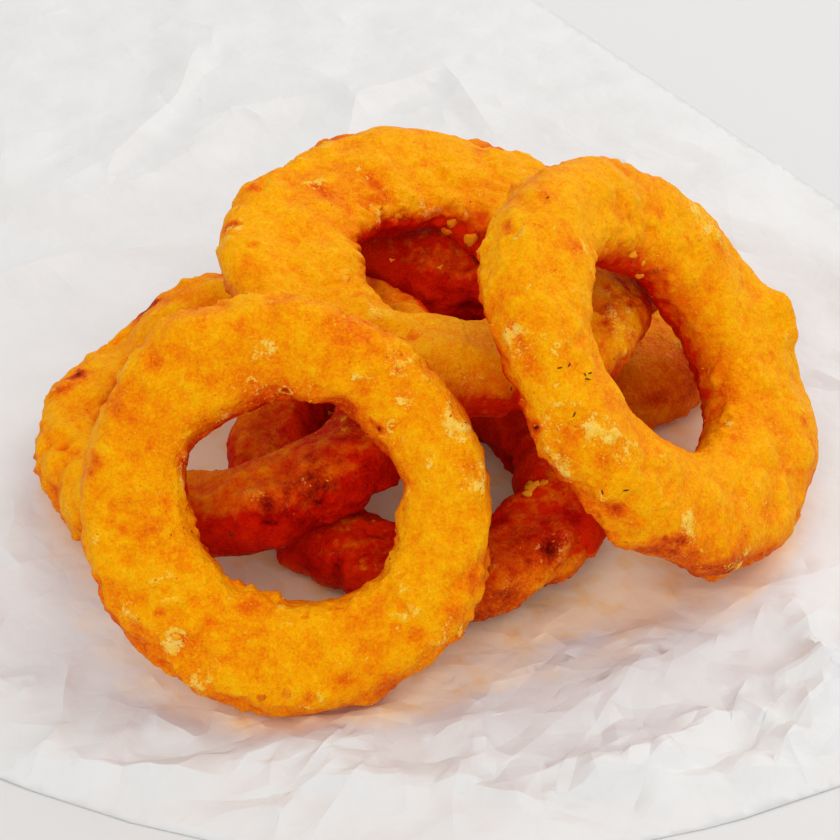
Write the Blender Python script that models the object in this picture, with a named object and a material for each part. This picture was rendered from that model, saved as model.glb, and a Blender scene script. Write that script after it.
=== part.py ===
"""Battered onion rings in a heap on a crumpled sheet of greaseproof paper.

The row frame stands on the table: +Z is up, and the origin is under the middle of the
heap, on the flat underside of the paper. Seven rings lie on the sheet. Four of them, the
back, bottom, left and right ones, touch it, one bridges over the back one, one lies flat
on top, and the front one stands on the sheet and leans back against the others.
"""

import math
import random
from typing import NamedTuple

import bpy
from mathutils import Quaternion, Vector

MM = 0.001

# ---- driving dimensions, in millimetres ----

PAPER_THICKNESS = 0.6      # paper and the grease film, as one solid
PAPER_LEFT = -148.0
PAPER_RIGHT = 168.0
PAPER_BACK = 224.0
PAPER_FRONT = -128.0       # front edge at the middle, its furthest forward
PAPER_FRONT_BOW = 88.0     # how far back the front edge runs at the right corner
FOLD_START = (22.0, 224.0)   # the back right corner is folded under along a line
FOLD_HEADING = -56.5       # from here, at this heading in degrees
PAPER_CELL = 15.0          # size of one facet of the crumpled sheet
PAD_CENTRE = (2.0, -4.0)   # the heap presses the sheet flat over this ellipse
PAD_RADII = (96.0, 103.0)
PAD_EASE = 45.0            # width over which the crumples grow to full height
CRUMPLE_FRONT = 9.0        # height of the crumples towards the front right corner
CRUMPLE_BACK = 2.4         # height of the crumples towards the back
EDGE_LIFT = 7.0            # how far the front edge curls up at its two ends
EDGE_LIFT_MIDDLE = 3.5     # and in the middle
EDGE_LIFT_WIDTH = 26.0     # width of the curled strip

SECTION_POWER = 2.5        # a ring's section: 2 is an ellipse, larger is squarer
LUMP = 0.35                # height of the batter's broad lumps
STEPS_AROUND = 44
STEPS_SECTION = 12


class Ring(NamedTuple):
    """One onion ring: its sizes in millimetres and its place in the heap."""

    name: str
    centre: tuple          # middle of the ring
    tilt: float            # degrees out of the horizontal
    hinge: float           # heading of the level axis it is tilted about, in degrees
    outer: float           # mean outer diameter
    band: float            # mean width of the band
    thickness: float       # height of the band
    oval: float            # how far from round, as a part of the radius
    oval_heading: float    # where the long axis lies, in degrees
    uneven: float          # how much wider the band is on one side, as a part of it
    uneven_heading: float  # where the band is widest, in degrees
    colour: tuple          # linear base colour


GOLD = (0.93, 0.37, 0.01)
DEEP_GOLD = (0.86, 0.30, 0.012)
BROWN = (0.55, 0.13, 0.01)

RINGS = [
    Ring("ring_front", (-26.9, -66.7, 34.9), 49.3, -2.2, 80.3, 19.9, 15.8,
         0.03, -34.0, 0.14, -127.2, GOLD),
    Ring("ring_right", (45.9, -28.0, 41.5), 49.5, 68.3, 91.0, 23.5, 16.0,
         0.06, -2.3, 0.15, 6.8, GOLD),
    Ring("ring_top", (2.7, -0.9, 45.6), 13.0, 74.4, 92.4, 26.3, 12.7,
         0.07, 34.5, 0.10, 117.8, GOLD),
    Ring("ring_middle", (4.8, 44.3, 27.4), 7.2, 113.2, 75.2, 20.3, 16.0,
         0.14, -20.6, 0.05, 38.1, BROWN),
    Ring("ring_left", (-41.9, -16.8, 21.0), 16.9, -79.1, 89.4, 19.3, 14.8,
         0.06, -20.9, 0.08, 5.8, DEEP_GOLD),
    Ring("ring_bottom", (-3.0, -26.5, 12.3), 7.2, -51.6, 83.0, 20.2, 15.1,
         0.14, -48.3, 0.16, 17.2, BROWN),
    Ring("ring_back", (33.1, 44.3, 9.7), 0.7, -120.2, 85.8, 21.4, 16.2,
         0.14, -52.6, 0.13, -15.5, DEEP_GOLD),
]


def clear_scene():
    for obj in list(bpy.data.objects):
        bpy.data.objects.remove(obj, do_unlink=True)


def material(name, colour, roughness):
    """A plain Principled material."""
    mat = bpy.data.materials.new(name)
    mat.use_nodes = True
    shader = mat.node_tree.nodes["Principled BSDF"]
    shader.inputs["Base Color"].default_value = (*colour, 1.0)
    shader.inputs["Roughness"].default_value = roughness
    shader.inputs["Metallic"].default_value = 0.0
    return mat


def add_object(name, points_mm, faces, mat, smooth):
    """Make one object from points in millimetres."""
    mesh = bpy.data.meshes.new(name)
    mesh.from_pydata([Vector(point) * MM for point in points_mm], [], faces)
    mesh.materials.append(mat)
    if smooth:
        mesh.shade_smooth()
    mesh.update()
    obj = bpy.data.objects.new(name, mesh)
    bpy.context.scene.collection.objects.link(obj)
    return obj


# ---- onion rings ----

def signed_power(value, power):
    return math.copysign(abs(value) ** power, value)


def lump_height(around, section, phases):
    """Broad lumps of batter, whole waves both around the ring and around its section."""
    waves = [(3, 0, 0.40), (5, 1, 0.30), (8, -2, 0.25), (11, 3, 0.20)]
    total = sum(size * math.sin(turns * around + twists * section + phase)
                for (turns, twists, size), phase in zip(waves, phases))
    return LUMP * total


def ring_point(ring, around, section, phases):
    """A point of the ring's skin in the ring's own frame, its hole along Z."""
    half_band = ring.band / 2
    middle = ring.outer / 2 - half_band
    middle *= 1 + ring.oval * math.cos(2 * (around - math.radians(ring.oval_heading)))
    half_band *= 1 + ring.uneven * math.cos(around - math.radians(ring.uneven_heading))
    lump = lump_height(around, section, phases)
    across = signed_power(math.cos(section), 2 / SECTION_POWER)
    up = signed_power(math.sin(section), 2 / SECTION_POWER)
    radius = middle + across * (half_band + lump)
    return (radius * math.cos(around), radius * math.sin(around),
            up * (ring.thickness / 2 + lump))


def build_ring(ring, seed):
    dice = random.Random(seed)
    phases = [dice.uniform(0, math.tau) for _ in range(4)]
    points = []
    faces = []
    for i in range(STEPS_AROUND):
        for j in range(STEPS_SECTION):
            around = math.tau * i / STEPS_AROUND
            section = math.tau * j / STEPS_SECTION
            points.append(ring_point(ring, around, section, phases))
            next_i = (i + 1) % STEPS_AROUND * STEPS_SECTION
            next_j = (j + 1) % STEPS_SECTION
            here = i * STEPS_SECTION
            faces.append((here + j, next_i + j, next_i + next_j, here + next_j))
    mat = material(ring.name, ring.colour, 0.6)
    obj = add_object(ring.name, points, faces, mat, smooth=True)
    heading = math.radians(ring.hinge)
    hinge_axis = Vector((math.cos(heading), math.sin(heading), 0.0))
    obj.rotation_mode = "QUATERNION"
    obj.rotation_quaternion = Quaternion(hinge_axis, math.radians(ring.tilt))
    obj.location = Vector(ring.centre) * MM
    return obj


# ---- crumpled paper ----

def smooth_step(value):
    value = min(max(value, 0.0), 1.0)
    return value * value * (3 - 2 * value)


def front_edge(x):
    """The front edge bows back on both sides of the middle."""
    return PAPER_FRONT + PAPER_FRONT_BOW * (x / PAPER_RIGHT) ** 2


def right_edge(y):
    """The right edge, slanted behind the folded corner."""
    slant = math.tan(math.radians(FOLD_HEADING))
    return min(PAPER_RIGHT, FOLD_START[0] + (y - FOLD_START[1]) / slant)


def paper_place(across, along):
    """Map the unit square to the sheet's outline, left to right and front to back."""
    plain_x = PAPER_LEFT + across * (PAPER_RIGHT - PAPER_LEFT)
    front = front_edge(plain_x)
    y = front + along * (PAPER_BACK - front)
    x = PAPER_LEFT + across * (right_edge(y) - PAPER_LEFT)
    return x, y


def crumple_scale(x, y):
    """Height of the crumples at a place: none under the heap, most at the front right."""
    out = math.hypot((x - PAD_CENTRE[0]) / PAD_RADII[0], (y - PAD_CENTRE[1]) / PAD_RADII[1])
    beyond = (out - 1) * min(PAD_RADII)
    frontness = smooth_step(0.5 + (x - y) / 300.0)
    height = CRUMPLE_BACK + (CRUMPLE_FRONT - CRUMPLE_BACK) * frontness
    return height * smooth_step(beyond / PAD_EASE)


def edge_lift(x, y):
    """Height of the curl along the front edge."""
    nearness = smooth_step(1 - (y - front_edge(x)) / EDGE_LIFT_WIDTH)
    sideness = smooth_step((abs(x) - 45.0) / 45.0)
    return nearness * (EDGE_LIFT_MIDDLE + (EDGE_LIFT - EDGE_LIFT_MIDDLE) * sideness)


def build_paper():
    dice = random.Random(41)
    columns = round((PAPER_RIGHT - PAPER_LEFT) / PAPER_CELL)
    rows = round((PAPER_BACK - PAPER_FRONT) / PAPER_CELL)
    ground = []
    for row in range(rows + 1):
        for column in range(columns + 1):
            inside_x = 0 < column < columns
            inside_y = 0 < row < rows
            shift_x = dice.uniform(-0.34, 0.34) * inside_x
            shift_y = dice.uniform(-0.34, 0.34) * inside_y
            x, y = paper_place((column + shift_x) / columns, (row + shift_y) / rows)
            height = crumple_scale(x, y) * dice.random() ** 1.3 + edge_lift(x, y)
            ground.append((x, y, height))
    count = len(ground)
    top = [(x, y, z + PAPER_THICKNESS) for x, y, z in ground]
    faces = []
    for row in range(rows):
        for column in range(columns):
            a = row * (columns + 1) + column
            b = a + 1
            c = b + columns + 1
            d = a + columns + 1
            if (row + column + dice.randrange(2)) % 2:
                triangles = [(a, b, c), (a, c, d)]
            else:
                triangles = [(a, b, d), (b, c, d)]
            faces += [tuple(count + k for k in triangle) for triangle in triangles]
            faces += [triangle[::-1] for triangle in triangles]
    rim = list(range(columns + 1))
    rim += [row * (columns + 1) + columns for row in range(1, rows + 1)]
    rim += [rows * (columns + 1) + column for column in reversed(range(columns))]
    rim += [row * (columns + 1) for row in reversed(range(1, rows))]
    for here, there in zip(rim, rim[1:] + rim[:1]):
        faces.append((here, there, count + there, count + here))
    mat = material("paper_sheet", (0.86, 0.85, 0.84), 0.5)
    return add_object("paper_sheet", ground + top, faces, mat, smooth=False)


clear_scene()
build_paper()
for seed, ring in enumerate(RINGS):
    build_ring(ring, seed)
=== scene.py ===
"""A heap of battered onion rings on crumpled greaseproof paper: the finish of every piece."""

import itertools
import math
import random
from typing import NamedTuple

import bmesh
import bpy
import numpy as np
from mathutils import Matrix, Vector
from mathutils.bvhtree import BVHTree
from mathutils.geometry import delaunay_2d_cdt


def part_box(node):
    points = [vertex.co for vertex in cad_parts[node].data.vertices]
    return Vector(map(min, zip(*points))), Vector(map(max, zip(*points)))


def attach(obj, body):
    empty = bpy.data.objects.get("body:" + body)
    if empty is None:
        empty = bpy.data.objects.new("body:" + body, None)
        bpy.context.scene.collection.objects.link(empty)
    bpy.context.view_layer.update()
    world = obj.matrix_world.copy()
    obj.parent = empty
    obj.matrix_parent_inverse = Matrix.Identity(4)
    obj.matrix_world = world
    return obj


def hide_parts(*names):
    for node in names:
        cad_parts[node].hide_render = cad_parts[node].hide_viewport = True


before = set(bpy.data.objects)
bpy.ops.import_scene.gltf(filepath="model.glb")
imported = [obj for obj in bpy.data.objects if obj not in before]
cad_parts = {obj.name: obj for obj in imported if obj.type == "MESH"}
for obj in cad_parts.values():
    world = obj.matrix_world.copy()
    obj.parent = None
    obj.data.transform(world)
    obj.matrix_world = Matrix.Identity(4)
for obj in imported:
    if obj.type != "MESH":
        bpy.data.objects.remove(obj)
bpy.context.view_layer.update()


# ---- Camera, lights and table ----
# A large soft box stands behind the heap on the right, and a broad fill faces it.
# The heap lies on a plain pale table, and the room around is a bright even white.

CAMERA_HEIGHT_ANGLE = 38.0     # degrees above the table
CAMERA_DISTANCE = 0.5303
HEAP_MIDDLE = (0.0, 0.0, 0.02)
TABLE_GREY = 0.725
TABLE_REACH = 3.0
camera_data = bpy.data.cameras.new("camera")
camera_data.lens = 100.0
camera_data.sensor_width = 36.0
camera_data.shift_x = -0.012
camera_data.shift_y = 0.0175
camera_data.clip_start = 0.01
camera = bpy.data.objects.new("camera", camera_data)
height_angle = math.radians(CAMERA_HEIGHT_ANGLE)
camera.location = (0.0, -math.cos(height_angle) * CAMERA_DISTANCE,
                   math.sin(height_angle) * CAMERA_DISTANCE)
camera.rotation_euler = (math.pi / 2 - height_angle, 0.0, 0.0)
bpy.context.scene.collection.objects.link(camera)
bpy.context.scene.camera = camera


def soft_box(name, place, width, watts, colour):
    """A square area light at a place, facing the heap."""
    data = bpy.data.lights.new(name, "AREA")
    data.shape = "SQUARE"
    data.size = width
    data.energy = watts
    data.color = colour
    lamp = bpy.data.objects.new(name, data)
    lamp.location = place
    aim = Vector(HEAP_MIDDLE) - Vector(place)
    lamp.rotation_euler = aim.to_track_quat("-Z", "Y").to_euler()
    bpy.context.scene.collection.objects.link(lamp)


soft_box("key_light", (0.94, 1.04, 1.28), 2.40, 21.0, (1.0, 0.99, 0.97))
soft_box("fill_light", (-0.30, -1.50, 1.24), 1.40, 12.0, (1.0, 0.99, 0.98))

world = bpy.data.worlds.new("studio")
world.use_nodes = True
world.node_tree.nodes["Background"].inputs["Color"].default_value = (1.0, 0.99, 0.98, 1.0)
world.node_tree.nodes["Background"].inputs["Strength"].default_value = 0.66
bpy.context.scene.world = world
bpy.context.scene.view_settings.view_transform = "Standard"

table_mesh = bpy.data.meshes.new("table")
table_mesh.from_pydata([(TABLE_REACH * x, TABLE_REACH * y, 0)
                        for x, y in ((-1, -1), (1, -1), (1, 1), (-1, 1))], [], [(0, 1, 2, 3)])
table = bpy.data.objects.new("table", table_mesh)
bpy.context.scene.collection.objects.link(table)
table_finish = bpy.data.materials.new("table")
table_finish.use_nodes = True
table_shader = table_finish.node_tree.nodes["Principled BSDF"]
table_shader.inputs["Base Color"].default_value = (TABLE_GREY, TABLE_GREY, TABLE_GREY, 1.0)
table_shader.inputs["Roughness"].default_value = 0.7
table_mesh.materials.append(table_finish)


# ---- Greaseproof paper ----
# One sheet of thin white greaseproof paper, crumpled by hand and smoothed out again.
# It lies loose on the table, and the heap's weight presses its middle down.

PAPER_THICKNESS = 0.0002
PAPER_GRID = 0.0022            # spacing of the sheet's points
RIM_STEP = 0.0030              # spacing of the points along its edge
CREASE_STEP = 0.0032           # and along a crease
CREASE_SHAKE = 0.0002          # how far a crease's points stray from its line
FREE_OF_CREASE = 0.0009        # least gaps between the other points and the creases,
FREE_OF_RIM = 0.0014           # and between them and the edge
CREASE_OFF_RIM = 0.0010        # a crease stops this far from the edge
PAPER_SOFTNESS = 0.005         # the broad hills are rounded over this distance
PAPER_LOWEST = 0.0003          # least height of the sheet's upper side
PLAIN_HEIGHT = 0.0006          # the frame's sheet's height where it lies flat
HILL_SHARE = 0.45              # the broad hills' height, next to the plain sheet's
CREASE_ROUNDNESS = 1.05        # 1 gives a crease flat slopes, more hollows them
PAD_MIDDLE = (0.002, -0.004)   # the heap presses the creases down over this ellipse
PAD_REACH = (0.084, 0.092)
PRESSED = 0.35                 # what is left of a crease's height under the heap
RIM_DROP = 0.98                # share of its height that the sheet loses at its edge
HILL_EDGE = 0.014              # the hills run out over this distance from the edge,
CREASE_EDGE = 0.006            # and the creases over this one
UNDER_RING = 0.0004            # least gap between the sheet and a ring above it
VIEW_RAYS = 24                 # looks taken from a place to see how enclosed it is
VIEW_REACH = 0.09              # how far a look goes
GOLDEN_TURN = 2.39996          # radians between one look and the next


class CreaseField(NamedTuple):
    """Creases of one sort, scattered about a place on the sheet; metres and degrees."""

    count: int
    middle: tuple
    spread: tuple
    heading: float
    heading_spread: float
    length: float
    height: float
    width: float


CREASE_FIELDS = [
    CreaseField(34, (0.075, -0.078), (0.070, 0.030), 40.0, 24.0, 0.036, 0.0016, 0.0065),
    CreaseField(34, (0.075, -0.082), (0.070, 0.030), -48.0, 34.0, 0.026, 0.0014, 0.0060),
    CreaseField(130, (0.060, -0.088), (0.085, 0.032), 20.0, 80.0, 0.015, 0.0010, 0.0034),
    CreaseField(26, (-0.020, -0.106), (0.070, 0.014), 2.0, 24.0, 0.036, 0.0013, 0.0060),
    CreaseField(100, (-0.020, -0.100), (0.085, 0.022), 60.0, 60.0, 0.015, 0.0009, 0.0032),
    CreaseField(34, (-0.105, -0.030), (0.035, 0.080), 65.0, 50.0, 0.030, 0.0009, 0.0070),
    CreaseField(50, (-0.105, -0.050), (0.030, 0.070), 0.0, 90.0, 0.013, 0.0004, 0.0030),
    CreaseField(26, (-0.060, 0.140), (0.070, 0.060), 50.0, 60.0, 0.045, 0.0011, 0.0120),
    CreaseField(22, (0.050, 0.130), (0.080, 0.070), -20.0, 60.0, 0.050, 0.0009, 0.0140),
    CreaseField(44, (-0.080, 0.140), (0.050, 0.050), 0.0, 90.0, 0.015, 0.0005, 0.0035),
    CreaseField(30, (0.130, 0.020), (0.030, 0.070), -55.0, 40.0, 0.034, 0.0010, 0.0080),
    CreaseField(60, (0.000, -0.030), (0.090, 0.080), 10.0, 90.0, 0.024, 0.0014, 0.0050),
    CreaseField(120, (0.030, -0.080), (0.120, 0.040), 30.0, 90.0, 0.012, 0.0009, 0.0024),
    CreaseField(50, (-0.030, 0.130), (0.110, 0.080), 30.0, 90.0, 0.014, 0.0006, 0.0026),
]


class Crease(NamedTuple):
    """One crease, in metres."""

    points: tuple          # a line of flat places
    height: float          # below zero in a valley
    width: float           # from the crease to the foot of its slope, on its left
    right_width: float


LONG_CREASES = [
    Crease(((0.020, -0.092), (0.030, -0.085), (0.049, -0.073), (0.058, -0.063),
            (0.072, -0.053), (0.092, -0.044)), 0.0046, 0.0110, 0.0150),
    Crease(((-0.004, -0.094), (0.009, -0.092), (0.025, -0.086)), 0.0026, 0.0070, 0.0090),
    Crease(((0.012, -0.106), (0.022, -0.096), (0.033, -0.085)), 0.0022, 0.0090, 0.0070),
    Crease(((0.059, -0.077), (0.068, -0.082), (0.077, -0.079), (0.092, -0.077)),
           0.0030, 0.0110, 0.0045),
    Crease(((0.058, -0.091), (0.042, -0.102), (0.027, -0.109)), 0.0024, 0.0080, 0.0090),
    Crease(((0.007, -0.080), (0.009, -0.092), (0.007, -0.112)), 0.0026, 0.0050, 0.0100),
    Crease(((0.024, -0.111), (0.044, -0.121)), -0.0026, 0.0050, 0.0060),
    Crease(((0.074, -0.083), (0.074, -0.097), (0.065, -0.101)), 0.0018, 0.0050, 0.0050),
    Crease(((0.086, -0.070), (0.090, -0.090), (0.082, -0.098)), -0.0018, 0.0060, 0.0060),
    Crease(((0.049, -0.051), (0.054, -0.065)), 0.0024, 0.0060, 0.0050),
    Crease(((0.023, -0.056), (0.024, -0.067), (0.030, -0.074)), 0.0030, 0.0070, 0.0040),
    Crease(((-0.082, -0.103), (-0.062, -0.106), (-0.040, -0.108)), 0.0020, 0.0080, 0.0060),
    Crease(((-0.056, -0.090), (-0.043, -0.099)), 0.0014, 0.0060, 0.0060),
    Crease(((-0.038, -0.104), (-0.018, -0.094), (-0.001, -0.089)), 0.0024, 0.0070, 0.0090),
    Crease(((-0.009, -0.084), (-0.011, -0.097), (-0.026, -0.107)), 0.0018, 0.0060, 0.0070),
    Crease(((-0.100, 0.100), (-0.084, 0.120), (-0.070, 0.152), (-0.066, 0.185)),
           0.0018, 0.0100, 0.0060),
    Crease(((-0.095, 0.096), (-0.078, 0.106), (-0.060, 0.124)), 0.0014, 0.0080, 0.0060),
    Crease(((-0.024, 0.118), (-0.020, 0.150), (0.004, 0.168), (0.018, 0.130)),
           0.0020, 0.0140, 0.0060),
    Crease(((-0.125, 0.050), (-0.090, 0.072), (-0.052, 0.078)), 0.0018, 0.0120, 0.0060),
]


def cell_value(cell, seed):
    """A fixed random number from 0 to 1 for each cell of a grid."""
    mixed = cell[:, 0] * 73856093 ^ cell[:, 1] * 19349663 ^ cell[:, 2] * 83492791 ^ seed * 7919
    for _ in range(2):
        mixed = (mixed ^ (mixed >> 15) & 0xFFFFFFFF) * 73244475 & 0xFFFFFFFF
    return (mixed >> 8 & 0xFFFF) / 65535


def noise_at(points, size, seed):
    """Smooth noise from -1 to 1, with lumps about one size apart."""
    cell = points / size
    base = np.floor(cell).astype(np.int64)
    part = cell - base
    part = part * part * (3 - 2 * part)
    total = np.zeros(len(points))
    for corner in itertools.product((0, 1), repeat=3):
        weight = np.prod(np.where(corner, part, 1 - part), axis=1)
        total += weight * (cell_value(base + corner, seed) * 2 - 1)
    return total


def mesh_points(mesh):
    points = np.zeros(len(mesh.vertices) * 3)
    mesh.vertices.foreach_get("co", points)
    return points.reshape(-1, 3)


def add_piece(name, mesh):
    piece = bpy.data.objects.new(name, mesh)
    bpy.context.scene.collection.objects.link(piece)
    return piece


def mesh_from(shape, name):
    """The mesh of a finished bmesh."""
    mesh = bpy.data.meshes.new(name)
    shape.to_mesh(mesh)
    shape.free()
    return mesh


def welded_copy(node, name):
    """A copy of a frame node's mesh with its loose triangles joined."""
    shape = bmesh.new()
    shape.from_mesh(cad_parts[node].data)
    bmesh.ops.remove_doubles(shape, verts=shape.verts, dist=0.00001)
    mesh = mesh_from(shape, name)
    mesh.materials.clear()
    return mesh


def plain_heap():
    """The seven rings' plain solids as one tree."""
    points = []
    faces = []
    for node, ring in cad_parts.items():
        if node.startswith("ring_"):
            first = len(points)
            points += [vert.co.copy() for vert in ring.data.vertices]
            faces += [[first + k for k in face.vertices] for face in ring.data.polygons]
    return BVHTree.FromPolygons(points, faces)


def filled_view(tree, place, normal, rays):
    """The share of the view from a place that a tree's shapes fill."""
    aim = normal.to_track_quat("Z", "Y")
    filled = 0
    for k in range(rays):
        up = math.sqrt((k + 0.5) / rays)
        flat = math.sqrt(1 - up * up)
        ray = Vector((flat * math.cos(k * GOLDEN_TURN), flat * math.sin(k * GOLDEN_TURN), up))
        if tree.ray_cast(place, aim @ ray, VIEW_REACH)[0]:
            filled += 1
    return filled / rays


def scatter_creases():
    """Every crease of the sheet: the scattered ones, then the long ones."""
    dice = random.Random(12)
    creases = []
    for field in CREASE_FIELDS:
        for _ in range(field.count):
            x = dice.gauss(field.middle[0], field.spread[0] * 0.6)
            y = dice.gauss(field.middle[1], field.spread[1] * 0.6)
            heading = math.radians(dice.gauss(field.heading, field.heading_spread * 0.6))
            half = field.length * dice.uniform(0.45, 1.4) / 2
            run = (math.cos(heading) * half, math.sin(heading) * half)
            height = field.height * dice.uniform(0.35, 1.15)
            if dice.random() < 0.35:
                height *= -0.8
            width = field.width * dice.uniform(0.5, 1.3)
            lean = dice.uniform(0.5, 2.2)
            bow = dice.uniform(-0.16, 0.16)
            creases.append(Crease(((x - run[0], y - run[1]), (x - bow * run[1], y + bow * run[0]),
                                   (x + run[0], y + run[1])), height, width, width * lean))
    return creases + LONG_CREASES


def crease_slopes(creases, flat):
    """The height all creases give the sheet at flat places, and the gap to the nearest one."""
    height = np.zeros(len(flat))
    nearest = np.full(len(flat), 1.0)
    for crease in creases:
        best = np.full(len(flat), 1.0)
        slope = np.zeros(len(flat))
        for part, (start, end) in enumerate(zip(crease.points, crease.points[1:])):
            run = np.array(end) - start
            along = np.clip((flat - start) @ run / (run @ run), 0, 1)
            off = flat - start - along[:, None] * run
            gap = np.hypot(off[:, 0], off[:, 1])
            left = off[:, 1] * run[0] - off[:, 0] * run[1] > 0
            whole = (part + along) / (len(crease.points) - 1) * 2 - 1
            rise = np.clip(1 - gap / np.where(left, crease.width, crease.right_width), 0, 1)
            slope = np.where(gap < best, rise * (1 - whole ** 4), slope)
            best = np.minimum(best, gap)
        height += crease.height * slope ** CREASE_ROUNDNESS
        nearest = np.minimum(nearest, best)
    return height, nearest


def sheet_rim(node):
    """The outline of the node's top side, as flat places in order."""
    shape = bmesh.new()
    mesh = welded_copy(node, "rim")
    shape.from_mesh(mesh)
    shape.normal_update()
    under = [face for face in shape.faces if face.normal.z < 0.3]
    bmesh.ops.delete(shape, geom=under, context="FACES")
    loop = next(edge for edge in shape.edges if edge.is_boundary).link_loops[0]
    rim = []
    first = loop.vert
    vert = first
    while True:
        rim.append((vert.co.x, vert.co.y))
        edge = next(edge for edge in vert.link_edges if edge.is_boundary
                    and next(iter(edge.link_loops)).vert == vert)
        vert = edge.other_vert(vert)
        if vert == first:
            break
    shape.free()
    bpy.data.meshes.remove(mesh)
    return rim


def inside(rim, x, y):
    """Whether a flat place is inside the outline."""
    crossings = 0
    for (x1, y1), (x2, y2) in zip(rim, rim[1:] + rim[:1]):
        if (y1 > y) != (y2 > y) and x < x1 + (y - y1) * (x2 - x1) / (y2 - y1):
            crossings += 1
    return crossings % 2 == 1


def rim_places(rim):
    """Places in order along the outline."""
    places = []
    for here, there in zip(rim, rim[1:] + rim[:1]):
        cuts = max(1, round(math.dist(here, there) / RIM_STEP))
        for k in range(cuts):
            share = k / cuts
            places.append((here[0] + (there[0] - here[0]) * share,
                           here[1] + (there[1] - here[1]) * share))
    return places


def rim_gap(rim_points, x, y):
    return np.min(np.hypot(*(rim_points - (x, y)).T))


def sheet_places(rim, rim_points, creases):
    """Flat places all over the sheet, the outline's first, and the edges that join them."""
    dice = random.Random(5)
    places = [tuple(point) for point in rim_points]
    edges = [(k, (k + 1) % len(places)) for k in range(len(places))]
    for crease in creases:
        first = len(places)
        for start, end in zip(crease.points, crease.points[1:]):
            steps = max(2, round(math.dist(start, end) / CREASE_STEP))
            for k in range(steps):
                x, y = (start[side] + (end[side] - start[side]) * k / steps
                        + dice.uniform(-CREASE_SHAKE, CREASE_SHAKE) for side in (0, 1))
                if not inside(rim, x, y) or rim_gap(rim_points, x, y) < CREASE_OFF_RIM:
                    first = len(places)
                    continue
                places.append((x, y))
                if len(places) - 1 > first:
                    edges.append((len(places) - 2, len(places) - 1))
    low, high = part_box("paper_sheet")
    grid = []
    for row in range(int((high[1] - low[1]) / PAPER_GRID)):
        for column in range(int((high[0] - low[0]) / PAPER_GRID)):
            grid.append((low[0] + (column + dice.uniform(0.1, 0.9)) * PAPER_GRID,
                         low[1] + (row + dice.uniform(0.1, 0.9)) * PAPER_GRID))
    clear = crease_slopes(creases, np.array(grid))[1] > FREE_OF_CREASE
    for (x, y), free in zip(grid, clear):
        if free and rim_gap(rim_points, x, y) > FREE_OF_RIM and inside(rim, x, y):
            places.append((x, y))
    return places, edges


def hill_heights(flat):
    """The frame's sheet's height at flat places, rounded over a short distance."""
    coarse = welded_copy("paper_sheet", "paper_sheet_coarse")
    hills = BVHTree.FromPolygons([vert.co for vert in coarse.vertices],
                                 [face.vertices[:] for face in coarse.polygons])
    bpy.data.meshes.remove(coarse)
    found = []
    for x, y in flat:
        heights = []
        for turn in range(7):
            reach = PAPER_SOFTNESS * (turn > 0)
            at = Vector((x + reach * math.cos(turn), y + reach * math.sin(turn), 0.1))
            hit = hills.ray_cast(at, Vector((0, 0, -1)))[0]
            if hit:
                heights.append(hit.z)
        found.append(sum(heights) / len(heights) if heights else PLAIN_HEIGHT)
    return np.array(found)


def sheet_heights(flat, reach, rim_points, creases):
    """The sheet's height at flat places: hills, creases and waves, all lower at the edge."""
    at = np.column_stack([flat, np.zeros(len(flat))])
    fine = crease_slopes(creases, flat)[0]
    fine += 0.0007 * noise_at(at, 0.021, 3) + 0.0003 * noise_at(at, 0.009, 4)
    fine *= np.clip((reach - 0.85) / 0.30, PRESSED, 1.0)
    z = hill_heights(flat) * HILL_SHARE
    gap = np.array([rim_gap(rim_points, x, y) for x, y in flat])
    z -= RIM_DROP * (z - PAPER_LOWEST) * np.exp(-(gap / HILL_EDGE) ** 2)
    z += fine * (1 - RIM_DROP * np.exp(-(gap / CREASE_EDGE) ** 2))
    for k in np.flatnonzero(reach < 1.5):
        ring = heap.ray_cast(Vector((flat[k][0], flat[k][1], -0.01)), Vector((0, 0, 1)))[0]
        if ring:
            z[k] = min(z[k], ring.z - UNDER_RING)
    return np.maximum(z, PAPER_LOWEST)


def crumpled_sheet():
    """A fine mesh whose edges follow the creases, lifted by the hills and the creases."""
    rim = sheet_rim("paper_sheet")
    rim_points = np.array(rim_places(rim))
    creases = scatter_creases()
    places, edges = sheet_places(rim, rim_points, creases)
    flat, joined, faces, _, from_edges, _ = delaunay_2d_cdt(
        [Vector(place) for place in places], edges, [], 1, 0.00001)
    flat = np.array(flat)
    reach = np.hypot((flat[:, 0] - PAD_MIDDLE[0]) / PAD_REACH[0],
                     (flat[:, 1] - PAD_MIDDLE[1]) / PAD_REACH[1])
    points = np.column_stack([flat, sheet_heights(flat, reach, rim_points, creases)])
    mesh = bpy.data.meshes.new("greaseproof_paper")
    mesh.from_pydata(points.tolist(), [], faces)
    mesh.update()
    mesh.shade_smooth()
    creased = {tuple(sorted(edge)) for edge, source in zip(joined, from_edges)
               if any(k >= len(rim_points) for k in source)}
    for edge in mesh.edges:
        if tuple(sorted(edge.vertices)) in creased:
            edge.use_edge_sharp = True
    # How much of the view the heap fills at each place near it; the paper's finish paints an amber
    # shade from this.
    shelter = [filled_view(heap, vert.co, Vector((0, 0, 1)), VIEW_RAYS) if near else 0.0
               for vert, near in zip(mesh.vertices, reach < 1.7)]
    mesh.attributes.new("shelter", "FLOAT", "POINT").data.foreach_set("value", shelter)
    return mesh


def put_node(tree, kind, feeds, **settings):
    """A new node of a tree, with its settings made and its inputs set or linked."""
    node = tree.nodes.new(kind)
    for name, value in settings.items():
        setattr(node, name, value)
    for socket, value in feeds.items():
        if isinstance(value, bpy.types.NodeSocket):
            tree.links.new(value, node.inputs[socket])
        else:
            node.inputs[socket].default_value = value
    return node


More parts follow.
